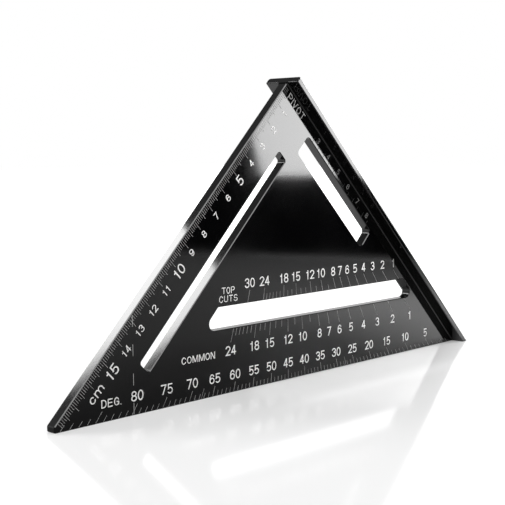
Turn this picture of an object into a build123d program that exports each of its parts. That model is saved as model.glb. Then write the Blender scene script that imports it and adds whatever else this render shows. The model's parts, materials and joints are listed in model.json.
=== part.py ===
from build123d import *
import os
from math import ceil, floor, hypot, radians, sqrt, tan

# Rafter angle square: a flat three-sided blade with scribing slots and printed scales,
# and a T-shaped fence that is grooved over one leg of the blade and screwed to its edge.
# All lengths are in millimetres. The square is drawn lying on the XY plane, with its long
# base on the X axis and its printed face up, and is stood up on that base at the end.

# Blade
leg_length = 184.3
blade_thickness = 4.75
tip_flat = 2.35
tip_round = 0.8
edge_chamfer = 0.35
leg_angle = 45

# Fence, and the blade's radiused root and tongue that bed on it
root_round = 0.7
fence_front_reach = 6.25
fence_rear_reach = 7.75
fence_thickness = 3.2
fence_edge_flat = 1.6
fence_inner_round = 0.45
fence_end_round = 0.35
fence_overhang = 0.4
tongue_depth = 1.0
tongue_setback = 0.5
groove_clearance = 0.05

# Countersunk screws that hold the fence to the blade's edge
screw_count = 5
screw_diameter = 2.5
screw_length = 6.0
screw_head_diameter = 4.7
screw_sink = 0.1
screw_clearance = 0.04
screw_socket_width = 1.5
screw_socket_depth = 0.7
screw_end_distance = 12.0

# Scribing slot along the scale edge
scale_slot_offset = 17.1
scale_slot_width = 6.1
scale_slot_start = 24.1
scale_slot_foot = 45.0
scale_slot_round = 1.3

# Scribing slot along the fence
fence_slot_offset = 5.75
fence_slot_width = 10.35
fence_slot_start = 26.3
fence_slot_foot = 94.1
fence_slot_round = 1.8

# Scribing slot along the base, with ends parallel to the two legs
base_slot_width = 9.6
base_slot_scale_distance = 35.5
base_slot_fence_distance = 4.7
base_slot_low_round = 3.0
base_slot_high_round = 0.8

slot_chamfer = 0.3
cut_overrun = 2.0

# Printed ink
ink_film = 0.06
ink_margin = 0.1
tick_width = 0.17
numeral_height_share = 0.022246
numeral_width_share = 0.015464
numeral_gap_share = 0.002713
stroke_share = 0.125
letter_gap_share = 0.19

# Centimetre scale on the scale edge
scale_pitch = 1.0
scale_group = 10
scale_half_group = 5
edge_tick_short = 2.5
edge_tick_middle = 3.6
edge_tick_long = 4.65
edge_numeral_gap = 0.6
edge_numeral_height = 3.1
edge_numeral_width = 2.2
edge_bold_height = 4.6
edge_bold_width = 3.1
edge_bold_every = 5
unit_label_from_tip = 19.5
unit_label_gap = 0.2
unit_label_length = 8.2
unit_label_height = 3.9

# Degree scale on the base
degree_tick_short = 2.0
degree_tick_long = 3.9
degree_numeral_gap = 1.15
degree_step_angle = 5
degree_first_angle = 5
degree_last_angle = 80
half_degree_angles = (27.5, 67.5)
degree_label_gap = 4.0
degree_label_length = 9.7
degree_label_height = 3.2
degree_label_clear = 2.0

# Common rafter scale under the base slot, rise in twelve
rafter_run_count = 12
rafter_tick_short = 3.0
rafter_tick_long = 5.6
rafter_numeral_gap = 1.4
rafter_label_height_share = 0.0720
rafter_rise_counts = tuple(range(1, 25))
rafter_numbered_counts = (1, 2, 3, 4, 5, 6, 7, 8, 10, 12, 15, 18, 24)
rafter_label_shares = (0.369, 0.835)
scale_row_gap = 6.4

# Top cut scale over the base slot, rise in seventeen
top_cut_run_count = 17
top_cut_tick_short = 2.5
top_cut_tick_long = 5.0
top_cut_numeral_gap = 1.0
top_cut_label_height_share = 0.1120
top_cut_label_gap_share = 0.26
top_cut_rise_counts = tuple(range(1, 25)) + (30,)
top_cut_numbered_counts = (1, 2, 3, 4, 5, 6, 7, 8, 10, 12, 15, 18, 24, 30)
top_cut_upper_label_shares = (0.438, 0.745)
top_cut_lower_label_shares = (0.371, 0.813)
top_cut_label_rise = 1.7

# Scale and label in the band between the fence and its slot
fence_tick_shares = (0.28, 0.42)
fence_numeral_height_share = 0.47
fence_numeral_centre_share = 0.42
fence_numeral_width = 1.85
fence_numeral_shift = 2.7
pivot_label_height_share = 0.62
pivot_label_shares = (0.171, 0.703)

# Dashed guide line that stands on the base near the acute corner
guide_line_from_tip = 40.3
guide_line_width = 0.3
guide_dash_count = 4
guide_dash_length = 4.6

# Strokes of the printed characters, as shares of a character's width and height.
# bar: level or upright stroke; slant: sloping stroke cut level at both ends;
# ring: oval stroke in a box; gap: a box taken out of the strokes before it.
six_shares = (
    ("ring", 0.0, 0.0, 1.0, 1.0),
    ("gap", 0.45, -0.3, 1.3, 0.74),
    ("gap", -0.3, -0.3, 1.3, 0.36),
    ("ring", 0.0, 0.0, 1.0, 0.60),
)
glyph_shares = {
    "0": (("ring", 0.0, 0.0, 1.0, 1.0),),
    "1": (("bar", 0.62, 0.0, 0.62, 1.0), ("bar", 0.22, 0.80, 0.62, 0.80)),
    "2": (
        ("ring", 0.0, 0.42, 1.0, 1.0),
        ("gap", -0.3, 0.2, 1.3, 0.62),
        ("gap", -0.3, 0.2, 0.5, 0.74),
        ("slant", 0.08, 0.0, 0.93, 0.60),
        ("bar", 0.0, 0.0, 1.0, 0.0),
    ),
    "3": (
        ("ring", 0.06, 0.52, 0.94, 1.0),
        ("ring", 0.0, 0.0, 1.0, 0.54),
        ("gap", -0.3, 0.24, 0.40, 0.78),
    ),
    "4": (
        ("bar", 0.74, 0.0, 0.74, 1.0),
        ("bar", 0.0, 0.26, 1.0, 0.26),
        ("slant", 0.06, 0.30, 0.68, 1.0),
    ),
    "5": (
        ("ring", 0.0, 0.0, 1.0, 0.62),
        ("gap", -0.3, 0.16, 0.30, 0.42),
        ("bar", 0.12, 0.48, 0.12, 1.0),
        ("bar", 0.12, 1.0, 0.92, 1.0),
    ),
    "6": six_shares,
    "7": (("bar", 0.0, 1.0, 1.0, 1.0), ("slant", 0.32, 0.0, 0.94, 1.0)),
    "8": (("ring", 0.07, 0.52, 0.93, 1.0), ("ring", 0.0, 0.0, 1.0, 0.54)),
    "9": tuple((kind, 1 - x1, 1 - y1, 1 - x0, 1 - y0) for kind, x0, y0, x1, y1 in six_shares),
    "C": (("ring", 0.0, 0.0, 1.0, 1.0), ("gap", 0.55, 0.30, 1.3, 0.70)),
    "D": (
        ("ring", -0.2, 0.0, 1.0, 1.0),
        ("gap", -0.6, -0.3, 0.40, 1.3),
        ("bar", 0.0, 0.0, 0.0, 1.0),
        ("bar", 0.0, 0.0, 0.40, 0.0),
        ("bar", 0.0, 1.0, 0.40, 1.0),
    ),
    "E": (
        ("bar", 0.0, 0.0, 0.0, 1.0),
        ("bar", 0.0, 0.0, 0.92, 0.0),
        ("bar", 0.0, 0.52, 0.84, 0.52),
        ("bar", 0.0, 1.0, 0.92, 1.0),
    ),
    "G": (
        ("ring", 0.0, 0.0, 1.0, 1.0),
        ("gap", 0.55, 0.30, 1.3, 0.70),
        ("bar", 0.60, 0.46, 0.97, 0.46),
        ("bar", 0.97, 0.10, 0.97, 0.46),
    ),
    "I": (("bar", 0.0, 0.0, 0.0, 1.0),),
    "M": (
        ("bar", 0.0, 0.0, 0.0, 1.0),
        ("bar", 1.0, 0.0, 1.0, 1.0),
        ("slant", 0.46, 0.06, 0.10, 1.0),
        ("slant", 0.54, 0.06, 0.90, 1.0),
    ),
    "N": (
        ("bar", 0.0, 0.0, 0.0, 1.0),
        ("bar", 1.0, 0.0, 1.0, 1.0),
        ("slant", 0.86, 0.0, 0.14, 1.0),
    ),
    "O": (("ring", 0.0, 0.0, 1.0, 1.0),),
    "P": (
        ("ring", 0.0, 0.44, 1.0, 1.0),
        ("gap", -0.3, 0.2, 0.50, 1.3),
        ("bar", 0.0, 0.0, 0.0, 1.0),
        ("bar", 0.0, 0.44, 0.50, 0.44),
        ("bar", 0.0, 1.0, 0.50, 1.0),
    ),
    "S": (
        ("ring", 0.04, 0.50, 0.96, 1.0),
        ("gap", 0.50, 0.56, 1.3, 0.78),
        ("ring", 0.0, 0.0, 1.0, 0.50),
        ("gap", -0.3, 0.22, 0.50, 0.44),
    ),
    "T": (("bar", 0.0, 1.0, 1.0, 1.0), ("bar", 0.5, 0.0, 0.5, 1.0)),
    "U": (
        ("ring", 0.0, 0.0, 1.0, 0.70),
        ("gap", -0.3, 0.35, 1.3, 1.3),
        ("bar", 0.0, 0.40, 0.0, 1.0),
        ("bar", 1.0, 0.40, 1.0, 1.0),
    ),
    "V": (("slant", 0.47, 0.0, 0.0, 1.0), ("slant", 0.53, 0.0, 1.0, 1.0)),
    "c": (("ring", 0.0, 0.0, 1.0, 0.70), ("gap", 0.58, 0.22, 1.3, 0.48)),
    "m": (
        ("ring", 0.0, 0.0, 0.5, 0.70),
        ("ring", 0.5, 0.0, 1.0, 0.70),
        ("gap", -0.3, -0.3, 1.3, 0.40),
        ("bar", 0.0, 0.0, 0.0, 0.70),
        ("bar", 0.5, 0.0, 0.5, 0.46),
        ("bar", 1.0, 0.0, 1.0, 0.46),
    ),
    ".": (("bar", 0.0, 0.0, 0.0, 0.0),),
}
glyph_width_shares = {"I": 0.0, ".": 0.0, "M": 1.3, "m": 1.9, "1": 0.85}

# Places that follow from the sizes above
root_two = sqrt(2)
half_base = leg_length / root_two
tip_x = tip_flat - half_base
front = blade_thickness / 2
fence_width = blade_thickness + fence_front_reach + fence_rear_reach
fence_middle = (fence_front_reach - fence_rear_reach) / 2
root_width = blade_thickness + 2 * root_round
fence_outside = root_round + fence_thickness
fence_outer_round = fence_thickness - fence_inner_round - fence_edge_flat
scale_slot_end = leg_length - scale_slot_foot
fence_slot_end = leg_length - fence_slot_foot
numeral_height = numeral_height_share * leg_length
numeral_width = numeral_width_share * leg_length
numeral_gap = numeral_gap_share * leg_length
ink_edge = edge_chamfer + ink_margin
edge_numeral_offset = ink_edge + edge_tick_long + edge_numeral_gap + edge_bold_height / 2
unit_label_offset = ink_edge + edge_tick_long + unit_label_gap + unit_label_height / 2
ink_slot_edge = slot_chamfer + ink_margin
degree_numeral_base = ink_edge + degree_tick_long + degree_numeral_gap
rafter_numeral_base = degree_numeral_base + numeral_height + scale_row_gap
rafter_tick_top = rafter_numeral_base + numeral_height + rafter_numeral_gap + rafter_tick_long
base_slot_low = rafter_tick_top + ink_slot_edge
base_slot_high = base_slot_low + base_slot_width
top_cut_tick_foot = base_slot_high + ink_slot_edge
top_cut_numeral_base = top_cut_tick_foot + top_cut_tick_long + top_cut_numeral_gap


def leg_point(along_scale, along_fence):
    """Place on the blade's face, from distances along the scale edge and along the fence."""
    return (
        (along_fence - along_scale) / root_two,
        (leg_length - along_scale - along_fence) / root_two,
    )


def ray_point(angle, height):
    """Place at a height over the base on the line that leaves the pivot corner at an angle."""
    return ((half_base - height) * tan(radians(leg_angle - angle)), height)


def rise_point(rise, run, height):
    """Place at a height over the base on the line of a roof that rises so much in its run."""
    slope = (run - rise) / (run + rise)
    return ((half_base - height) * slope, height)


def fence_plane(along_fence, outward):
    """Plane across the fence: X towards the printed face, Y into the blade, Z down the fence."""
    return Plane(
        origin=(*leg_point(-outward, along_fence), 0), x_dir=(0, 0, 1), z_dir=(1, -1, 0)
    )


def above_base(solid):
    """The part of a solid that lies over the line of the base."""
    return split(solid, bisect_by=Plane(origin=(0, 0, 0), z_dir=(0, 1, 0)), keep=Keep.TOP)


# Blade with its three slots
def leg_slot(scale_from, scale_to, fence_from, fence_to, corner_round):
    """Slot with sides along the two legs."""
    middle = leg_point((scale_from + scale_to) / 2, (fence_from + fence_to) / 2)
    shape = RectangleRounded(scale_to - scale_from, fence_to - fence_from, corner_round)
    return Pos(*middle) * Rot(0, 0, leg_angle) * shape


def base_slot():
    """Slot along the base, whose ends run parallel to the scale edge and to the fence."""
    scale_line = (2 * base_slot_scale_distance - leg_length) / root_two
    fence_line = (leg_length - 2 * base_slot_fence_distance) / root_two
    shape = make_face(Polyline(
        (scale_line + base_slot_low, base_slot_low),
        (fence_line - base_slot_low, base_slot_low),
        (fence_line - base_slot_high, base_slot_high),
        (scale_line + base_slot_high, base_slot_high),
        close=True,
    ))
    low_vertices = shape.vertices().sort_by(Axis.Y)[:2]
    shape = fillet(low_vertices, base_slot_low_round)
    high_vertices = shape.vertices().group_by(Axis.Y)[-1]
    return fillet(high_vertices, base_slot_high_round)


def slot_shapes():
    """The three scribing slots, drawn flat."""
    scale_slot = leg_slot(
        scale_slot_start, scale_slot_end,
        scale_slot_offset, scale_slot_offset + scale_slot_width,
        scale_slot_round,
    )
    fence_slot = leg_slot(
        fence_slot_offset, fence_slot_offset + fence_slot_width,
        fence_slot_start, fence_slot_end,
        fence_slot_round,
    )
    return [scale_slot, fence_slot, base_slot()]


def bevelled_slot(shape):
    """Cutter for one slot, wider at both faces of the blade by the slot's chamfer."""
    cutter = extrude(Pos(0, 0, -front - cut_overrun) * shape, blade_thickness + 2 * cut_overrun)
    wide = offset(shape, slot_chamfer)
    for face_height, side in ((front, -1), (-front, 1)):
        cutter += loft([
            Pos(0, 0, face_height) * wide,
            Pos(0, 0, face_height + side * slot_chamfer) * shape,
        ])
    return cutter


def blade_root(side):
    """Hollow-rounded strip where one face of the blade spreads out on the fence."""
    centre = (side * (front + root_round), 0)
    square = Pos(side * (front + root_round / 2), -root_round / 2) * Rectangle(root_round, root_round)
    hollow = square - Pos(*centre) * Circle(root_round)
    strip = extrude(fence_plane(0, 0) * hollow, leg_length + 2 * fence_outside)
    return above_base(strip)


def blade_tongue():
    """Strip as wide as the root's spread, which beds in the fence's groove."""
    section = Pos(0, -tongue_depth / 2) * Rectangle(root_width, tongue_depth)
    strip = extrude(fence_plane(tongue_setback, root_round) * section, leg_length + 2 * fence_outside)
    return above_base(strip)


def make_blade():
    """Three-sided plate with a blunt acute tip, and a root and tongue along its fence edge."""
    outline = make_face(Polyline(
        leg_point(-root_round, 0),
        leg_point(-root_round, leg_length + root_round),
        (tip_x, 0),
        (tip_x, tip_flat),
        close=True,
    ))
    plate = extrude(Pos(0, 0, -front) * outline, blade_thickness)
    tip_edges = plate.edges().filter_by(Axis.Z).sort_by(Axis.X)[:2]
    plate = fillet(tip_edges, tip_round)
    long_edges = plate.edges().filter_by(GeomType.LINE).filter_by(lambda e: e.length > leg_length / 2)
    fence_edge = Vector(*leg_point(-root_round, leg_length / 2), 0)
    free_edges = [e for e in long_edges if (e.center() - fence_edge).length > leg_length / 4]
    plate = chamfer(free_edges, edge_chamfer)
    for side in (1, -1):
        plate += blade_root(side)
    plate += blade_tongue()
    for shape in slot_shapes():
        plate -= bevelled_slot(shape)
    return plate


# Fence
def make_fence():
    """Bar with rounded edges, longer than the blade at the top and cut off level at the base.

    Its rounded top end stays sharp where the blade's root runs up to it.
    """
    profile = Pos(fence_middle, -fence_thickness / 2) * Rectangle(fence_width, fence_thickness)
    outer_corners = profile.vertices().group_by(Axis.Y)[0]
    profile = fillet(outer_corners, fence_outer_round)
    inner_corners = profile.vertices().group_by(Axis.Y)[-1]
    profile = fillet(inner_corners, fence_inner_round)
    bar_length = leg_length + fence_overhang + 2 * fence_outside
    bar = above_base(extrude(fence_plane(-fence_overhang, root_round) * profile, bar_length))
    top_end = bar.faces().filter_by(GeomType.PLANE).sort_by(Axis.Y)[-1]
    bar = fillet(top_end.edges(), fence_end_round)
    sharp_end = Pos(0, -fence_end_round / 2) * Rectangle(root_width, fence_end_round)
    bar += extrude(fence_plane(-fence_overhang, root_round) * sharp_end, fence_end_round)
    groove = Rectangle(root_width + 2 * groove_clearance, 2 * tongue_depth)
    return bar - extrude(fence_plane(-groove_clearance, root_round) * groove, bar_length)


# Screws
def screw_places():
    """Plane of each screw, on the fence's outer face, with Z pointing into the blade's edge."""
    pitch = (leg_length - 2 * screw_end_distance) / (screw_count - 1)
    for number in range(screw_count):
        start = leg_point(-fence_outside, screw_end_distance + number * pitch)
        yield Plane(origin=(*start, 0), x_dir=(0, 0, 1), z_dir=(-1, -1, 0))


def screw_body(spare):
    """Countersunk screw with its head's rim at the origin, grown by a clearance."""
    head_radius = screw_head_diameter / 2 + spare
    shank_radius = screw_diameter / 2 + spare
    head_height = (screw_head_diameter - screw_diameter) / 2
    ends_low = (Align.CENTER, Align.CENTER, Align.MIN)
    head = Cone(head_radius, shank_radius, head_height, align=ends_low)
    shank_height = screw_length - head_height - screw_sink + spare
    return head + Pos(0, 0, head_height) * Cylinder(shank_radius, shank_height, align=ends_low)


def make_screw():
    """Screw with a hexagon socket in its head."""
    socket = extrude(RegularPolygon(screw_socket_width / 2, 6, major_radius=False), screw_socket_depth)
    return Pos(0, 0, screw_sink) * (screw_body(0) - socket)


def screw_cutter():
    """Countersunk hole for one screw, open above the fence's outer face."""
    mouth_radius = screw_head_diameter / 2 + screw_clearance
    mouth = Cylinder(mouth_radius, screw_sink + cut_overrun, align=(Align.CENTER, Align.CENTER, Align.MAX))
    return Pos(0, 0, screw_sink) * (screw_body(screw_clearance) + mouth)


# Printed ink
def tick(foot, end, width):
    """Ink line from its foot to its end, on the printed face."""
    length = hypot(end[0] - foot[0], end[1] - foot[1])
    along = Plane(
        origin=(*foot, front), x_dir=(end[0] - foot[0], end[1] - foot[1], 0), z_dir=(0, 0, 1)
    )
    return along * Box(length, width, ink_film, align=(Align.MIN, Align.CENTER, Align.MIN))


def stroke_shape(kind, start, end, stroke):
    """One stroke of a character, between two corners of its box."""
    (x0, y0), (x1, y1) = start, end
    middle = Pos((x0 + x1) / 2, (y0 + y1) / 2)
    wide, high = abs(x1 - x0), abs(y1 - y0)
    if kind == "ring":
        outer = Ellipse((wide + stroke) / 2, (high + stroke) / 2)
        return middle * (outer - Ellipse((wide - stroke) / 2, (high - stroke) / 2))
    if kind == "gap":
        return middle * Rectangle(wide, high)
    if kind == "bar":
        return middle * Rectangle(wide + stroke, high + stroke)
    lean = (x1 - x0) / (y1 - y0)
    half = stroke * hypot(1, lean) / 2
    low = (x0 - lean * stroke / 2, y0 - stroke / 2)
    top = (x1 + lean * stroke / 2, y1 + stroke / 2)
    return make_face(Polyline(
        (low[0] - half, low[1]),
        (low[0] + half, low[1]),
        (top[0] + half, top[1]),
        (top[0] - half, top[1]),
        close=True,
    ))


def character(letter, width, height):
    """Flat shape of one character, with its left foot at the origin, and its full width."""
    stroke = stroke_share * height
    line_width = (width - stroke) * glyph_width_shares.get(letter, 1)
    line_height = height - stroke
    shape = None
    for kind, x0, y0, x1, y1 in glyph_shares[letter]:
        start = (x0 * line_width + stroke / 2, y0 * line_height + stroke / 2)
        end = (x1 * line_width + stroke / 2, y1 * line_height + stroke / 2)
        piece = stroke_shape(kind, start, end, stroke)
        if kind == "gap":
            shape = shape - piece
        else:
            shape = piece if shape is None else shape + piece
    return shape, line_width + stroke


def word(text, width, height, gap):
    """Inked characters in a row on the printed face, centred on the origin at their feet."""
    solids, reach = [], 0
    for letter in text:
        shape, letter_width = character(letter, width, height)
        solids += (Pos(reach, 0, front) * extrude(shape, ink_film)).solids()
        reach += letter_width + gap
    length = reach - gap
    return [Pos(-length / 2, 0) * solid for solid in solids]


def fitted_word(text, length, height):
    """Inked word whose characters are as wide as its length allows."""
    stroke = stroke_share * height
    gap = letter_gap_share * height
    shares = sum(glyph_width_shares.get(letter, 1) for letter in text)
    line_width = (length - len(text) * stroke - (len(text) - 1) * gap) / shares
    return word(text, line_width + stroke, height, gap)


def put(solids, place, turn=0):
    """Move a row of characters to its place on the face."""
    return [Pos(*place) * Rot(0, 0, turn) * solid for solid in solids]


def edge_tick_length(number):
    """Length of a millimetre line on the scale edge."""
    if number % scale_group == 0:
        return edge_tick_long
    return edge_tick_middle if number % scale_half_group == 0 else edge_tick_short


def edge_ticks():
    """Millimetre lines along the scale edge, up to the blunt tip."""
    last = floor((leg_length - tip_flat * root_two - edge_tick_short / 2) / scale_pitch)
    lines = []
    for number in range(1, last + 1):
        along = number * scale_pitch
        end = ink_edge + edge_tick_length(number)
        lines.append(tick(leg_point(along, ink_edge), leg_point(along, end), tick_width))
    return lines


def edge_numerals():
    """Centimetre numbers along the scale edge, every fifth one larger."""
    group = scale_group * scale_pitch
    label_start = leg_length - unit_label_from_tip - unit_label_length
    solids = []
    for number in range(1, floor((label_start - numeral_gap) / group - edge_bold_width / group) + 1):
        bold = number % edge_bold_every == 0
        height = edge_bold_height if bold else edge_numeral_height
        width = edge_bold_width if bold else edge_numeral_width
        place = leg_point(number * group, edge_numeral_offset + height / 2)
        solids += put(word(str(number), width, height, numeral_gap), place, leg_angle)
    return solids


def unit_label():
    """Unit of the scale edge, near the acute corner."""
    along = leg_length - unit_label_from_tip - unit_label_length / 2
    place = leg_point(along, unit_label_offset + unit_label_height / 2)
    return put(fitted_word("cm", unit_label_length, unit_label_height), place, leg_angle)


def degree_ticks():
    """Degree lines along the base, each on a ray from the pivot corner."""
    angles = [(angle, angle % degree_step_angle == 0) for angle in range(1, 2 * leg_angle)]
    angles += [(angle, True) for angle in half_degree_angles]
    lines = []
    for angle, is_long in angles:
        foot = ray_point(angle, ink_edge)
        end = ray_point(angle, ink_edge + (degree_tick_long if is_long else degree_tick_short))
        from_scale = (leg_length + root_two * (end[0] - end[1])) / 2
        clear_of_scale = from_scale > ink_edge + edge_tick_short + tick_width / 2
        if clear_of_scale and foot[0] > tip_x + tip_round:
            lines.append(tick(foot, end, tick_width))
    return lines


def degree_label_start():
    """Left end of the degree scale's label, just past the foot of the unit label."""
    unit_foot = leg_point(leg_length - unit_label_from_tip, unit_label_offset + unit_label_height / 2)
    return unit_foot[0] + degree_label_gap


def degree_numerals():
    """Degree numbers over every fifth line, as far as the scale's label."""
    label_end = degree_label_start() + degree_label_length
    half_word = numeral_width + numeral_gap / 2
    solids = []
    for angle in range(degree_first_angle, degree_last_angle + 1, degree_step_angle):
        across = ray_point(angle, ink_edge + degree_tick_long)[0]
        if across - half_word > label_end + degree_label_clear:
            number = word(str(angle), numeral_width, numeral_height, numeral_gap)
            solids += put(number, (across, degree_numeral_base))
    return solids


def degree_label():
    """Name of the degree scale, near the acute corner."""
    middle = degree_label_start() + degree_label_length / 2
    return put(fitted_word("DEG.", degree_label_length, degree_label_height), (middle, degree_numeral_base))


def rise_ticks(rises, numbered, run, foot_height, short, long):
    """Lines of a rafter scale, from the slot's edge towards or away from the pivot corner."""
    lines = []
    for rise in rises:
        reach = long if rise in numbered else short
        lines.append(tick(
            rise_point(rise, run, foot_height), rise_point(rise, run, foot_height + reach), tick_width
        ))
    return lines


def rise_numerals(numbered, run, tick_end, base_height):
    """Numbers of a rafter scale, each centred on the end of its line."""
    solids = []
    for rise in numbered:
        across = rise_point(rise, run, tick_end)[0]
        solids += put(word(str(rise), numeral_width, numeral_height, numeral_gap), (across, base_height))
    return solids


def label_room(numeral_base, first_numeral_x):
    """Ends of the room between the scale-edge slot and a row's first number."""
    slot_line = scale_slot_offset + scale_slot_width
    low = numeral_base + numeral_height / 2 + (2 * slot_line - leg_length) / root_two
    return low, first_numeral_x - numeral_width


def row_label(text, room, shares, height, base_height):
    """Name of a rafter scale, left of its first number."""
    low, high = (room[0] + share * (room[1] - room[0]) for share in shares)
    return put(fitted_word(text, high - low, height), ((low + high) / 2, base_height))


def rafter_label():
    """Name of the scale under the base slot."""
    first = rise_point(max(rafter_numbered_counts), rafter_run_count, base_slot_low - rafter_tick_long)[0]
    room = label_room(rafter_numeral_base, first)
    height = rafter_label_height_share * (room[1] - room[0])
    return row_label("COMMON", room, rafter_label_shares, height, rafter_numeral_base)


def top_cut_label():
    """Name of the scale over the base slot, on two lines."""
    tick_end = base_slot_high + top_cut_tick_long
    first = rise_point(max(top_cut_numbered_counts), top_cut_run_count, tick_end)[0]
    room = label_room(top_cut_numeral_base, first)
    height = top_cut_label_height_share * (room[1] - room[0])
    low_row = base_slot_high + top_cut_label_rise
    high_row = low_row + (1 + top_cut_label_gap_share) * height
    lower = row_label("CUTS", room, top_cut_lower_label_shares, height, low_row)
    upper = row_label("TOP", room, top_cut_upper_label_shares, height, high_row)
    return lower + upper


def fence_ticks():
    """Centimetre and half-centimetre lines from the fence slot's edge towards the fence."""
    half_reach, full_reach = (share * fence_slot_offset for share in fence_tick_shares)
    step = scale_half_group * scale_pitch
    first = ceil((fence_slot_start + fence_slot_round) / step)
    last = floor((fence_slot_end - fence_slot_round) / step)
    foot = fence_slot_offset - ink_slot_edge
    lines = []
    for number in range(first, last + 1):
        reach = half_reach if number * scale_half_group % scale_group else full_reach
        along = number * step
        lines.append(tick(leg_point(foot, along), leg_point(foot - reach, along), tick_width))
    return lines


def fence_numerals():
    """Centimetre numbers beside the fence slot, each just past its line."""
    group = scale_group * scale_pitch
    height = fence_numeral_height_share * fence_slot_offset
    foot = fence_numeral_centre_share * fence_slot_offset + height / 2
    first = ceil((fence_slot_start + fence_slot_round) / group)
    last = floor((fence_slot_end - fence_numeral_shift - fence_numeral_width / 2) / group)
    solids = []
    for number in range(first, last + 1):
        place = leg_point(foot, number * group + fence_numeral_shift)
        solids += put(word(str(number), fence_numeral_width, height, numeral_gap), place, -leg_angle)
    return solids


def pivot_label():
    """Name of the pivot corner, along the fence."""
    low, high = (share * fence_slot_start for share in pivot_label_shares)
    height = pivot_label_height_share * fence_slot_offset
    place = leg_point(fence_numeral_centre_share * fence_slot_offset + height / 2, (low + high) / 2)
    return put(fitted_word("PIVOT", high - low, height), place, -leg_angle)


def guide_line(crossed):
    """Dashes from the base up to the scale edge, broken at a slot and where other ink crosses them."""
    across = guide_line_from_tip - half_base
    low = ink_edge
    high = guide_line_from_tip - ink_edge * root_two - guide_line_width
    pitch = (high - low - guide_dash_length) / (guide_dash_count - 1)
    slots = [extrude(offset(shape, ink_slot_edge), blade_thickness) for shape in slot_shapes()]
    pieces = []
    for number in range(guide_dash_count):
        foot = low + number * pitch
        dash = tick((across, foot), (across, foot + guide_dash_length), guide_line_width)
        near = [solid for solid in crossed + slots if solid.distance_to(dash) < tick_width]
        for solid in near:
            dash = dash - solid
        pieces += dash.solids()
    return pieces


# Every node of the square
blade = make_blade()
fence = make_fence()
for place in screw_places():
    blade -= place * screw_cutter()
    fence -= place * screw_cutter()
cm_scale_ticks = edge_ticks()
cm_numerals = edge_numerals()
cm_label = unit_label()
degree_scale_ticks = degree_ticks()
degree_scale_numerals = degree_numerals()
degree_scale_label = degree_label()
degree_ink = degree_scale_ticks + degree_scale_numerals + degree_scale_label
nodes = {
    "blade": [blade],
    "fence": [fence],
    "fence_screws": [place * make_screw() for place in screw_places()],
    "cm_scale_ticks": cm_scale_ticks,
    "cm_scale_numerals": cm_numerals,
    "cm_unit_label": cm_label,
    "degree_ticks": degree_scale_ticks,
    "degree_numerals": degree_scale_numerals,
    "degree_label": degree_scale_label,
    "rafter_ticks": rise_ticks(
        rafter_rise_counts, rafter_numbered_counts, rafter_run_count,
        base_slot_low - ink_slot_edge, -rafter_tick_short, -rafter_tick_long,
    ),
    "rafter_numerals": rise_numerals(
        rafter_numbered_counts, rafter_run_count,
        rafter_tick_top - rafter_tick_long, rafter_numeral_base,
    ),
    "rafter_label": rafter_label(),
    "top_cut_ticks": rise_ticks(
        top_cut_rise_counts, top_cut_numbered_counts, top_cut_run_count,
        top_cut_tick_foot, top_cut_tick_short, top_cut_tick_long,
    ),
    "top_cut_numerals": rise_numerals(
        top_cut_numbered_counts, top_cut_run_count,
        top_cut_tick_foot + top_cut_tick_long, top_cut_numeral_base,
    ),
    "top_cut_label": top_cut_label(),
    "fence_scale_ticks": fence_ticks(),
    "fence_scale_numerals": fence_numerals(),
    "pivot_label": pivot_label(),
    "guide_line": guide_line(cm_scale_ticks + cm_numerals + cm_label + degree_ink),
}

# Stand the square on its base, with the printed face to the front and its middle, which is the
# fence's middle across the blade, at the origin
middle_x = (blade.bounding_box().min.X + fence.bounding_box().max.X) / 2
stand_up = Rot(90, 0, 0) * Pos(-middle_x, 0, -fence_middle)
os.makedirs("parts", exist_ok=True)
for name, solids in nodes.items():
    node = stand_up * Compound([solid for piece in solids for solid in piece.solids()])
    node.label = name
    export_step(node, f"parts/{name}.step")
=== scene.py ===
import json
from math import cos, pi, radians, sin

import bpy
from mathutils import Matrix, Vector

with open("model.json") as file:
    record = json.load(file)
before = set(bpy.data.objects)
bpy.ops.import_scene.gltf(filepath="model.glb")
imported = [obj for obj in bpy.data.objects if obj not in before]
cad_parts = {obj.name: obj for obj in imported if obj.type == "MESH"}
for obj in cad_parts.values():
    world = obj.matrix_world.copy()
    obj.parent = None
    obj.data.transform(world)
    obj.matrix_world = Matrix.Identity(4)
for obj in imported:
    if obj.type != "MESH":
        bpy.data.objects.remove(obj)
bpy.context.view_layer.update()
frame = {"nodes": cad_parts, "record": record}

# Lengths are in metres, in the square's own frame: X along the base towards the fence,
# the printed face towards -Y, Z up. Turns are in degrees.

# Camera at the photograph's angle
CAMERA_PLACE = (-0.372476, -0.331190, 0.103813)
CAMERA_RIGHT = (0.68724, -0.72637, -0.00927)
CAMERA_UP = (0.07520, 0.05845, 0.99545)
CAMERA_LENS_MM = 80.08
CAMERA_SENSOR_MM = 36.0
CAMERA_NEAREST = 0.01

# Key softbox, which faces the blade under the pivot corner, and the panel beside it
KEY_AIM = (-0.004, -0.003125)
KEY_DISTANCE = 0.75
KEY_AZIMUTH = -28.0
KEY_FOOT = 0.070
KEY_WIDTH = 0.46
KEY_HEIGHT = 0.36
KEY_MIRRORED_HEIGHT = 0.115
KEY_RADIANCE = 15.0
SIDE_SHIFT = 0.272
SIDE_STEP = 0.02
SIDE_WIDTH = 0.575
SIDE_HEIGHT = 0.175

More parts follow.
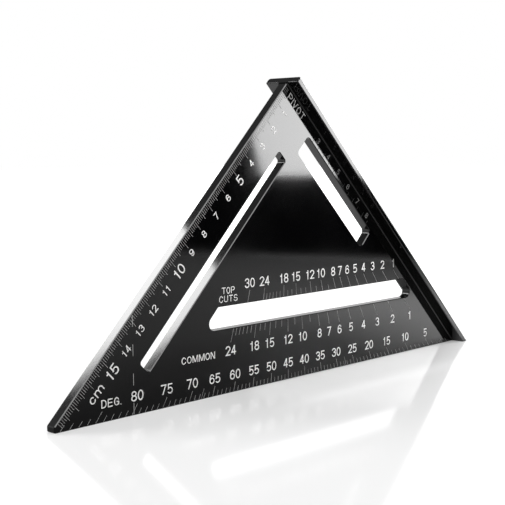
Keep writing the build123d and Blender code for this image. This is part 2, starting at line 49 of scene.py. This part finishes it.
# Dark cards that bound the key's image in the blade
FLAG_PLACE = (0.402, -0.364, 0.0)
FLAG_ALONG = (0.384, 0.925, 0.0)
FLAG_REACH = 0.23
FLAG_FOOT = 0.0005
FLAG_HEIGHT = 0.076
FLAG_FADE = 0.006
# Painted glow at the low card's foot
FLAG_FOOT_PAINTED_GLOW = 0.8
SIDE_FLAG_HEIGHT = 0.158
SIDE_FLAG_EDGE_LOW = -0.0251
SIDE_FLAG_EDGE_HIGH = -0.0474
CARD_BLACK = (0.004, 0.004, 0.004)
CARD_ROUGHNESS = 0.9

# Soft lamp behind, and the strip that the scale edge and its slot mirror
REAR_AIM = (-0.087, -0.00075, 0.047)
REAR_DIRECTION = (-0.1328, 0.7530, 0.6445)
REAR_DISTANCE = 1.2
REAR_RADIANCE = 15.0
REAR_SOFT_DISTANCE = 1.5
REAR_SOFT_WIDTH = 1.19
REAR_SOFT_HEIGHT = 0.198
STRIP_SHIFT = (-0.0024, -0.0298)
STRIP_WIDTH = 0.277
STRIP_HEIGHT = 0.119
STRIP_ROLL = -60.9

# Panels for the glints in the slot corners and on the upper edges
CORNER_AIM = (0.045, -0.001, 0.063)
CORNER_PLACE = (-0.490, 0.740, 0.835)
CORNER_WIDTH = 0.22
CORNER_HEIGHT = 0.20
OVERHEAD_AIM = (-0.05, -0.003, 0.06)
OVERHEAD_DIRECTION = (-0.19, -0.54, 0.81)
OVERHEAD_DISTANCE = 0.9
OVERHEAD_WIDTH = 0.50
OVERHEAD_HEIGHT = 0.40
OVERHEAD_RADIANCE = 9.0

# Backdrop: colour and levels, and the parts of a direction over which they change
WHITE_LIGHT = (1.0, 1.0, 1.0, 1.0)
AMBIENT = 0.45
CEILING = 0.28
CEILING_RISE = (0.50, 0.60)
ROOM = 0.05
ROOM_FRONT = (-0.08, -0.18)

# Floor as the camera sees it, with a painted contact shadow close in front of the base
FLOOR_HALF = 4.0
FLOOR_GREY = 0.62
FLOOR_SPECULAR = 0.3
FLOOR_GLOSS_ROUGHNESS = 0.08
FLOOR_LIFT = 0.44
CONTACT_SHADE = 0.17
CONTACT_LEFT = (-0.08, 0.0)
CONTACT_RIGHT = (0.168, 0.122)
CONTACT_SLANT = -2.2
CONTACT_FRONT = (-0.075, -0.025)
CONTACT_REAR = (0.002, -0.002)
FAR_FLOOR = (0.32, 0.60)
FAR_LIFT = 0.7

# Floor as the square mirrors it, with painted shade close in front of the base, a painted pool of
# light beside the fence, and painted light behind
FLOOR_SATIN_ROUGHNESS = 0.45
FLOOR_MIRRORED_LIFT = 0.13
FLOOR_SHADE = 0.29
FLOOR_CLEAR = 0.90
SHADE_FRONT = (-0.015, -0.110)
SHADE_REAR = (0.02, 0.06)
PAINTED_REAR_LIGHT = 0.6
PAINTED_POOL_LIGHT = 1.5
POOL_SIDE = (0.06, 0.15)
POOL_SLANT = 0.5
POOL_FRONT = (-0.20, -0.11)
POOL_REAR = (-0.004, -0.016)

# Metal finishes
GLOSS_IOR = 1.40
BLADE_BLACK = (0.0014, 0.0014, 0.0016)
BLADE_RUBBED = (0.0032, 0.0032, 0.0034)
BLADE_ROUGHNESS = 0.055
FENCE_BLACK = (0.0013, 0.0013, 0.0015)
FENCE_RUBBED = (0.0032, 0.0032, 0.0035)
FENCE_ROUGHNESS = 0.075
GLOSS_SPREAD = 0.03
STEEL_DARK = (0.060, 0.060, 0.064)
STEEL_RUBBED = (0.150, 0.150, 0.155)
STEEL_ROUGHNESS = 0.34
STEEL_SPREAD = 0.12
STEEL_METALLIC = 1.0
GRAIN_SCALE = 1500.0
GRAIN_DETAIL = 2.0
SMUDGE_SCALE = 24.0
SMUDGE_DETAIL = 4.0
SMUDGE_RANGE = (0.42, 0.72)
DRAW_LINE_SCALE = 900.0
DRAW_LINE_DETAIL = 1.0
DRAW_LINE_STRETCH = (0.04, 1.0, 1.0)
DRAW_LINE_SHARE = 0.6
RUBBED_GRAIN_SHARE = 0.35
RUBBED_RANGE = (0.25, 1.25)

# Ink finishes
WHITE_INK = (0.920, 0.917, 0.905)
WHITE_INK_THIN = (0.840, 0.837, 0.826)
TICK_INK = (0.390, 0.389, 0.385)
TICK_INK_THIN = (0.310, 0.309, 0.306)
FAINT_INK = (0.060, 0.060, 0.059)
FAINT_INK_THIN = (0.040, 0.040, 0.039)
INK_ROUGHNESS = 0.42
TICK_ROUGHNESS = 0.75
MOTTLE_SCALE = 2600.0
MOTTLE_DETAIL = 3.0
MOTTLE_ROUGHNESS_SHARE = 0.12
PATCH_SCALE = 60.0
PATCH_DETAIL = 2.0
PATCH_SHARE = 0.8
THIN_RANGE = (0.70, 1.15)

# Fine relief
BLADE_BUMP = 0.06
FENCE_BUMP = 0.08
STEEL_BUMP = 0.25
INK_BUMP = 0.30
FINE_DEPTH = 0.00002
STEEL_DEPTH = 0.00003


def add_node(tree, kind, **settings):
    """New node in a tree, with its own settings."""
    node = tree.nodes.new(kind)
    for name, value in settings.items():
        setattr(node, name, value)
    return node


def new_group(name, inputs, outputs):
    """Empty shader group with named sockets, and its two end nodes."""
    group = bpy.data.node_groups.new(name, "ShaderNodeTree")
    for label, kind in inputs:
        group.interface.new_socket(name=label, in_out="INPUT", socket_type=kind)
    for label, kind in outputs:
        group.interface.new_socket(name=label, in_out="OUTPUT", socket_type=kind)
    return group, add_node(group, "NodeGroupInput"), add_node(group, "NodeGroupOutput")


def surface_noise(tree, scale, detail, stretch=(1.0, 1.0, 1.0)):
    """Noise over the surface, with cells of about one over scale metres."""
    place = add_node(tree, "ShaderNodeTexCoord")
    mapping = add_node(tree, "ShaderNodeMapping")
    mapping.inputs["Scale"].default_value = stretch
    noise = add_node(tree, "ShaderNodeTexNoise")
    noise.inputs["Scale"].default_value = scale
    noise.inputs["Detail"].default_value = detail
    tree.links.new(place.outputs["Object"], mapping.inputs["Vector"])
    tree.links.new(mapping.outputs["Vector"], noise.inputs["Vector"])
    return noise.outputs["Fac"]


def between(tree, value, low, high):
    """Share of the way of a value from low to high, kept from 0 to 1."""
    ramp = add_node(tree, "ShaderNodeMapRange")
    ramp.inputs["From Min"].default_value = low
    ramp.inputs["From Max"].default_value = high
    tree.links.new(value, ramp.inputs["Value"])
    return ramp.outputs["Result"]


def level_between(tree, share, low, high):
    """Value that goes from low to high with a share."""
    ramp = add_node(tree, "ShaderNodeMapRange")
    ramp.inputs["To Min"].default_value = low
    ramp.inputs["To Max"].default_value = high
    tree.links.new(share, ramp.inputs["Value"])
    return ramp.outputs["Result"]


def mixed_colour(tree, share, first, second):
    """Blend of two colour sockets."""
    mix = add_node(tree, "ShaderNodeMix", data_type="RGBA")
    tree.links.new(share, mix.inputs["Factor"])
    tree.links.new(first, mix.inputs["A"])
    tree.links.new(second, mix.inputs["B"])
    return mix.outputs["Result"]


def mixed_level(tree, share, first, second):
    """Blend of two values, each a socket or a number."""
    mix = add_node(tree, "ShaderNodeMix", data_type="FLOAT")
    tree.links.new(share, mix.inputs["Factor"])
    for label, value in (("A", first), ("B", second)):
        if isinstance(value, float):
            mix.inputs[label].default_value = value
        else:
            tree.links.new(value, mix.inputs[label])
    return mix.outputs["Result"]


def sum_of(tree, first, second, factor):
    """First value plus the second times a factor."""
    node = add_node(tree, "ShaderNodeMath", operation="MULTIPLY_ADD")
    tree.links.new(second, node.inputs[0])
    if isinstance(factor, float):
        node.inputs[1].default_value = factor
    else:
        tree.links.new(factor, node.inputs[1])
    tree.links.new(first, node.inputs[2])
    return node.outputs[0]


def paired(tree, operation, first, second):
    """Product, larger or smaller one of two values."""
    node = add_node(tree, "ShaderNodeMath", operation=operation)
    tree.links.new(first, node.inputs[0])
    tree.links.new(second, node.inputs[1])
    return node.outputs[0]


def axis_parts(tree, vector):
    """Separate X, Y and Z of a vector."""
    parts = add_node(tree, "ShaderNodeSeparateXYZ")
    tree.links.new(vector, parts.inputs[0])
    return parts.outputs


def make_handled_metal():
    """Group for hard metal skins: fine grain, draw lines, and smudges from handling."""
    group, start, end = new_group(
        "handled_metal",
        [
            ("Colour", "NodeSocketColor"),
            ("Rubbed Colour", "NodeSocketColor"),
            ("Roughness", "NodeSocketFloat"),
            ("Roughness Spread", "NodeSocketFloat"),
        ],
        [
            ("Colour", "NodeSocketColor"),
            ("Roughness", "NodeSocketFloat"),
            ("Height", "NodeSocketFloat"),
        ],
    )
    given = start.outputs
    grain = surface_noise(group, GRAIN_SCALE, GRAIN_DETAIL)
    smudge = between(group, surface_noise(group, SMUDGE_SCALE, SMUDGE_DETAIL), *SMUDGE_RANGE)
    lines = surface_noise(group, DRAW_LINE_SCALE, DRAW_LINE_DETAIL, DRAW_LINE_STRETCH)
    rubbed = between(group, sum_of(group, smudge, grain, RUBBED_GRAIN_SHARE), *RUBBED_RANGE)
    colour = mixed_colour(group, rubbed, given["Colour"], given["Rubbed Colour"])
    rough = sum_of(group, given["Roughness"], smudge, given["Roughness Spread"])
    height = sum_of(group, grain, lines, DRAW_LINE_SHARE)
    group.links.new(colour, end.inputs["Colour"])
    group.links.new(rough, end.inputs["Roughness"])
    group.links.new(height, end.inputs["Height"])
    return group


def make_printed_ink():
    """Group for printed ink: a film that is a little thinner here and there."""
    group, start, end = new_group(
        "printed_ink",
        [
            ("Full Colour", "NodeSocketColor"),
            ("Thin Colour", "NodeSocketColor"),
            ("Roughness", "NodeSocketFloat"),
        ],
        [
            ("Colour", "NodeSocketColor"),
            ("Roughness", "NodeSocketFloat"),
            ("Height", "NodeSocketFloat"),
        ],
    )
    given = start.outputs
    mottle = surface_noise(group, MOTTLE_SCALE, MOTTLE_DETAIL)
    patch = surface_noise(group, PATCH_SCALE, PATCH_DETAIL)
    thin = between(group, sum_of(group, mottle, patch, PATCH_SHARE), *THIN_RANGE)
    colour = mixed_colour(group, thin, given["Full Colour"], given["Thin Colour"])
    rough = sum_of(group, given["Roughness"], mottle, MOTTLE_ROUGHNESS_SHARE)
    group.links.new(colour, end.inputs["Colour"])
    group.links.new(rough, end.inputs["Roughness"])
    group.links.new(mottle, end.inputs["Height"])
    return group


def grouped_finish(name, group, values, bump_strength, bump_depth, metallic=0.0):
    """Material whose colour, roughness and fine relief come from a shared group."""
    finish = bpy.data.materials.new(name)
    finish.use_nodes = True
    tree = finish.node_tree
    shader = tree.nodes["Principled BSDF"]
    skin = add_node(tree, "ShaderNodeGroup", node_tree=group)
    for label, value in values.items():
        skin.inputs[label].default_value = (*value, 1.0) if isinstance(value, tuple) else value
    bump = add_node(tree, "ShaderNodeBump")
    bump.inputs["Strength"].default_value = bump_strength
    bump.inputs["Distance"].default_value = bump_depth
    shader.inputs["Metallic"].default_value = metallic
    shader.inputs["IOR"].default_value = GLOSS_IOR
    tree.links.new(skin.outputs["Colour"], shader.inputs["Base Color"])
    tree.links.new(skin.outputs["Roughness"], shader.inputs["Roughness"])
    tree.links.new(skin.outputs["Height"], bump.inputs["Height"])
    tree.links.new(bump.outputs["Normal"], shader.inputs["Normal"])
    return finish


def make_finishes():
    """One finish for each material slot of the record."""
    metal = make_handled_metal()
    ink = make_printed_ink()

    def metal_values(colour, rubbed, roughness, spread):
        return {
            "Colour": colour, "Rubbed Colour": rubbed,
            "Roughness": roughness, "Roughness Spread": spread,
        }

    def ink_values(full, thin, roughness):
        return {"Full Colour": full, "Thin Colour": thin, "Roughness": roughness}

    blade = metal_values(BLADE_BLACK, BLADE_RUBBED, BLADE_ROUGHNESS, GLOSS_SPREAD)
    fence = metal_values(FENCE_BLACK, FENCE_RUBBED, FENCE_ROUGHNESS, GLOSS_SPREAD)
    steel = metal_values(STEEL_DARK, STEEL_RUBBED, STEEL_ROUGHNESS, STEEL_SPREAD)
    white = ink_values(WHITE_INK, WHITE_INK_THIN, INK_ROUGHNESS)
    grey = ink_values(TICK_INK, TICK_INK_THIN, TICK_ROUGHNESS)
    faint = ink_values(FAINT_INK, FAINT_INK_THIN, INK_ROUGHNESS)
    recipes = {
        "black_blade": (metal, blade, BLADE_BUMP, FINE_DEPTH),
        "black_fence": (metal, fence, FENCE_BUMP, FINE_DEPTH),
        "dark_steel": (metal, steel, STEEL_BUMP, STEEL_DEPTH, STEEL_METALLIC),
        "white_ink": (ink, white, INK_BUMP, FINE_DEPTH),
        "tick_ink": (ink, grey, INK_BUMP, FINE_DEPTH),
        "faint_ink": (ink, faint, INK_BUMP, FINE_DEPTH),
    }
    return {slot: grouped_finish(slot, *recipe) for slot, recipe in recipes.items()}


def dress_nodes(finishes):
    """Give every CAD node the finish of its record slot."""
    for row in frame["record"]["subparts"]:
        mesh = frame["nodes"][row["node"]].data
        mesh.materials.clear()
        mesh.materials.append(finishes[row["material_slot"]])


def seen_directly_or_mirrored(tree):
    """Two shares of a ray: 1 if the camera sees it, and 1 if the camera, a mirror or glass does."""
    path = add_node(tree, "ShaderNodeLightPath")
    by_eye = path.outputs["Is Camera Ray"]
    shown = by_eye
    for label in ("Is Glossy Ray", "Is Transmission Ray"):
        shown = paired(tree, "MAXIMUM", shown, path.outputs[label])
    return by_eye, shown


def make_world():
    """White backdrop behind the square, dark ceiling and dark room in front, soft ambient light."""
    world = bpy.data.worlds.new("studio")
    bpy.context.scene.world = world
    world.use_nodes = True
    tree = world.node_tree
    background = tree.nodes["Background"]
    by_eye, shown = seen_directly_or_mirrored(tree)
    place = add_node(tree, "ShaderNodeTexCoord")
    direction = axis_parts(tree, place.outputs["Generated"])
    overhead = between(tree, direction["Z"], *CEILING_RISE)
    in_front = between(tree, direction["Y"], *ROOM_FRONT)
    ceiling = level_between(tree, overhead, 1.0, CEILING)
    room = level_between(tree, in_front, 1.0, ROOM)
    mirrored = paired(tree, "MINIMUM", ceiling, room)
    seen = paired(tree, "MAXIMUM", mirrored, by_eye)
    background.inputs["Color"].default_value = WHITE_LIGHT
    tree.links.new(mixed_level(tree, shown, AMBIENT, seen), background.inputs["Strength"])


def flat_panel(name, corners, finish):
    """Stage mesh of one four-cornered face."""
    mesh = bpy.data.meshes.new(name)
    mesh.from_pydata([tuple(corner) for corner in corners], [], [(0, 1, 2, 3)])
    mesh.materials.append(finish)
    panel = bpy.data.objects.new(name, mesh)
    bpy.context.scene.collection.objects.link(panel)
    return panel


def mirrored_floor_with_painted_light(tree, x, y):
    """Colour level and lift of the floor as the square mirrors it: painted shade close in front of
    the base, with a painted pool of light beside the fence, and painted light behind."""
    rear = between(tree, y, *SHADE_REAR)
    clear = sum_of(tree, between(tree, y, *SHADE_FRONT), rear, 1.0)
    # Painted shade: for mirrored rays the floor's colour level drops close in front of the base.
    colour = level_between(tree, clear, FLOOR_SHADE, FLOOR_CLEAR)
    # Painted pool of light beside the fence, and painted light behind, both added to the lift.
    across = between(tree, sum_of(tree, x, y, POOL_SLANT), *POOL_SIDE)
    front, behind = between(tree, y, *POOL_FRONT), between(tree, y, *POOL_REAR)
    painted_pool = paired(tree, "MULTIPLY", across, paired(tree, "MULTIPLY", front, behind))
    lift = level_between(tree, painted_pool, FLOOR_MIRRORED_LIFT, FLOOR_MIRRORED_LIFT + PAINTED_POOL_LIGHT)
    return colour, sum_of(tree, lift, rear, PAINTED_REAR_LIGHT)


def seen_floor_with_painted_shade(tree, x, y, reach):
    """Lift of the floor as the camera sees it: a little less close in front of the base, a painted
    contact shadow, and more far off, where the floor runs into the white backdrop."""
    slant = sum_of(tree, x, y, CONTACT_SLANT)
    left, right = between(tree, x, *CONTACT_LEFT), between(tree, slant, *CONTACT_RIGHT)
    front, behind = between(tree, y, *CONTACT_FRONT), between(tree, y, *CONTACT_REAR)
    along, near = paired(tree, "MULTIPLY", left, right), paired(tree, "MULTIPLY", front, behind)
    painted_contact_shade = paired(tree, "MULTIPLY", along, near)
    # Painted contact shadow: the camera sees less lift close in front of the base.
    lift = level_between(tree, painted_contact_shade, FLOOR_LIFT, FLOOR_LIFT - CONTACT_SHADE)
    return sum_of(tree, lift, between(tree, reach, *FAR_FLOOR), FAR_LIFT)


def make_floor_finish():
    """Pale floor colour with a faint gloss, lifted towards the white of the backdrop, with painted
    shade and painted light near the square.
    """
    finish = bpy.data.materials.new("pale_floor")
    finish.use_nodes = True
    tree = finish.node_tree
    shader = tree.nodes["Principled BSDF"]
    shader.inputs["Specular IOR Level"].default_value = FLOOR_SPECULAR
    glow = add_node(tree, "ShaderNodeEmission")
    by_eye, shown = seen_directly_or_mirrored(tree)
    place = add_node(tree, "ShaderNodeTexCoord").outputs["Object"]
    reach = add_node(tree, "ShaderNodeVectorMath", operation="LENGTH")
    tree.links.new(place, reach.inputs[0])
    along = axis_parts(tree, place)
    x, y = along["X"], along["Y"]
    colour, mirrored_lift_with_painted_light = mirrored_floor_with_painted_light(tree, x, y)
    seen_lift_with_painted_shade = seen_floor_with_painted_shade(tree, x, y, reach.outputs["Value"])
    # Rays other than the camera's see the painted shade in the floor colour, mirrored rays also see
    # the painted light in the lift, and the camera sees the painted contact shadow.
    grey = level_between(tree, mixed_level(tree, by_eye, colour, 1.0), 0.0, FLOOR_GREY)
    gloss = level_between(tree, by_eye, FLOOR_SATIN_ROUGHNESS, FLOOR_GLOSS_ROUGHNESS)
    lift = mixed_level(tree, by_eye, mirrored_lift_with_painted_light, seen_lift_with_painted_shade)
    tree.links.new(grey, shader.inputs["Base Color"])
    tree.links.new(gloss, shader.inputs["Roughness"])
    tree.links.new(paired(tree, "MULTIPLY", shown, lift), glow.inputs["Strength"])
    total = add_node(tree, "ShaderNodeAddShader")
    tree.links.new(shader.outputs[0], total.inputs[0])
    tree.links.new(glow.outputs[0], total.inputs[1])
    tree.links.new(total.outputs[0], tree.nodes["Material Output"].inputs["Surface"])
    return finish


def make_floor():
    """Pale floor that keeps the shadow and a faint mirror image of the square."""
    signs = ((-1, -1), (1, -1), (1, 1), (-1, 1))
    corners = [(side * FLOOR_HALF, depth * FLOOR_HALF, 0) for side, depth in signs]
    flat_panel("floor", corners, make_floor_finish())


def placed(right, upward, back, place):
    """Matrix of a lamp or camera from its three directions and its place."""
    rows = [(right[i], upward[i], back[i], place[i]) for i in range(3)]
    return Matrix((*rows, (0, 0, 0, 1)))


def facing_frame(place, towards, roll=0.0):
    """Directions across, up and back of a panel that faces a point, turned by a roll."""
    back = (place - towards).normalized()
    level = Vector((0, 0, 1)).cross(back).normalized()
    upright = back.cross(level)
    turn = radians(roll)
    across = level * cos(turn) + upright * sin(turn)
    return across, back.cross(across), back


def area_light(name, place, towards, width, height, radiance, roll=0.0):
    """Soft rectangular lamp that faces a point."""
    lamp = bpy.data.lights.new(name, "AREA")
    lamp.shape = "RECTANGLE"
    lamp.size = width
    lamp.size_y = height
    lamp.energy = radiance * pi * width * height
    holder = bpy.data.objects.new(name, lamp)
    bpy.context.scene.collection.objects.link(holder)
    holder.matrix_world = placed(*facing_frame(place, towards, roll), place)
    holder.visible_camera = False
    return holder


def make_card_finish(name):
    """Black card."""
    finish = bpy.data.materials.new(name)
    finish.use_nodes = True
    shader = finish.node_tree.nodes["Principled BSDF"]
    shader.inputs["Base Color"].default_value = (*CARD_BLACK, 1.0)
    shader.inputs["Roughness"].default_value = CARD_ROUGHNESS
    shader.inputs["Specular IOR Level"].default_value = 0.0
    return finish


def make_low_flag_finish():
    """Black card with a painted glow at its foot, as light as the floor there, that fades upwards.
    """
    finish = make_card_finish("low_flag_black_painted_glow")
    tree = finish.node_tree
    shader = tree.nodes["Principled BSDF"]
    shader.inputs["Emission Color"].default_value = WHITE_LIGHT
    place = add_node(tree, "ShaderNodeTexCoord")
    height = axis_parts(tree, place.outputs["Object"])["Z"]
    # Painted glow at the card's foot, as light as the floor there.
    foot = between(tree, height, FLAG_FADE, 0.0)
    glow = level_between(tree, foot, 0.0, FLAG_FOOT_PAINTED_GLOW)
    tree.links.new(glow, shader.inputs["Emission Strength"])
    return finish


def make_flags():
    """Dark card under the key, and a second one with a sloping side to the left of it."""
    along = Vector(FLAG_ALONG).normalized()

    def corner(across, height):
        return Vector(FLAG_PLACE) + along * across + Vector((0, 0, height))

    low_corners = [
        corner(-FLAG_REACH, FLAG_FOOT), corner(FLAG_REACH, FLAG_FOOT),
        corner(FLAG_REACH, FLAG_HEIGHT), corner(-FLAG_REACH, FLAG_HEIGHT),
    ]
    side_corners = [
        corner(-FLAG_REACH, FLAG_HEIGHT), corner(SIDE_FLAG_EDGE_LOW, FLAG_HEIGHT),
        corner(SIDE_FLAG_EDGE_HIGH, SIDE_FLAG_HEIGHT), corner(-FLAG_REACH, SIDE_FLAG_HEIGHT),
    ]
    low = flat_panel("low_flag", low_corners, make_low_flag_finish())
    side = flat_panel("side_flag", side_corners, make_card_finish("side_flag_black"))
    for flag in (low, side):
        flag.visible_camera = False
        flag.visible_shadow = False


def make_key():
    """Key softbox in front, whose lower part the upper blade mirrors, and a panel beside it that
    only shows in the fence's rounded edge."""
    turn = radians(KEY_AZIMUTH)
    back = Vector((cos(turn), sin(turn), 0))
    across = Vector((-sin(turn), cos(turn), 0))
    stand = Vector((*KEY_AIM, 0)) + back * KEY_DISTANCE
    mirrored_top = KEY_FOOT + KEY_MIRRORED_HEIGHT

    def upright_panel(name, foot, sill, width, height):
        place = foot + Vector((0, 0, sill + height / 2))
        return area_light(name, place, place - back, width, height, KEY_RADIANCE)

    upright_panel("key_softbox", stand, KEY_FOOT, KEY_WIDTH, KEY_MIRRORED_HEIGHT)
    upper_height = KEY_HEIGHT - KEY_MIRRORED_HEIGHT
    upper = upright_panel("key_upper", stand, mirrored_top, KEY_WIDTH, upper_height)
    upper.visible_glossy = False
    side_foot = stand + across * SIDE_SHIFT - back * SIDE_STEP
    side = upright_panel("side_panel", side_foot, mirrored_top, SIDE_WIDTH, SIDE_HEIGHT)
    side.visible_diffuse = False


def make_rear_lights():
    """Wide soft lamp behind, and panels that only show as glints on the edges and slot walls."""
    aim = Vector(REAR_AIM)
    place = aim + Vector(REAR_DIRECTION).normalized() * REAR_DISTANCE
    across, upward, back = facing_frame(place, aim)
    soft = area_light(
        "rear_soft", aim + back * REAR_SOFT_DISTANCE, aim,
        REAR_SOFT_WIDTH, REAR_SOFT_HEIGHT, REAR_RADIANCE,
    )
    soft.visible_glossy = False
    middle = place + across * STRIP_SHIFT[0] + upward * STRIP_SHIFT[1]
    strip = area_light(
        "rear_strip", middle, middle - back,
        STRIP_WIDTH, STRIP_HEIGHT, REAR_RADIANCE, STRIP_ROLL,
    )
    corner = area_light(
        "corner_panel", Vector(CORNER_PLACE), Vector(CORNER_AIM),
        CORNER_WIDTH, CORNER_HEIGHT, REAR_RADIANCE,
    )
    over = Vector(OVERHEAD_AIM)
    overhead = area_light(
        "overhead_panel", over + Vector(OVERHEAD_DIRECTION).normalized() * OVERHEAD_DISTANCE, over,
        OVERHEAD_WIDTH, OVERHEAD_HEIGHT, OVERHEAD_RADIANCE,
    )
    for panel in (strip, corner, overhead):
        panel.visible_diffuse = False


def make_camera():
    """Camera with the photograph's place, turn and lens."""
    lens = bpy.data.cameras.new("camera")
    lens.lens = CAMERA_LENS_MM
    lens.sensor_width = CAMERA_SENSOR_MM
    lens.clip_start = CAMERA_NEAREST
    holder = bpy.data.objects.new("camera", lens)
    bpy.context.scene.collection.objects.link(holder)
    right, upward = Vector(CAMERA_RIGHT).normalized(), Vector(CAMERA_UP).normalized()
    holder.matrix_world = placed(right, upward, right.cross(upward), CAMERA_PLACE)
    bpy.context.scene.camera = holder


bpy.context.scene.view_settings.view_transform = "Standard"
dress_nodes(make_finishes())
make_world()
make_floor()
make_flags()
make_key()
make_rear_lights()
make_camera()
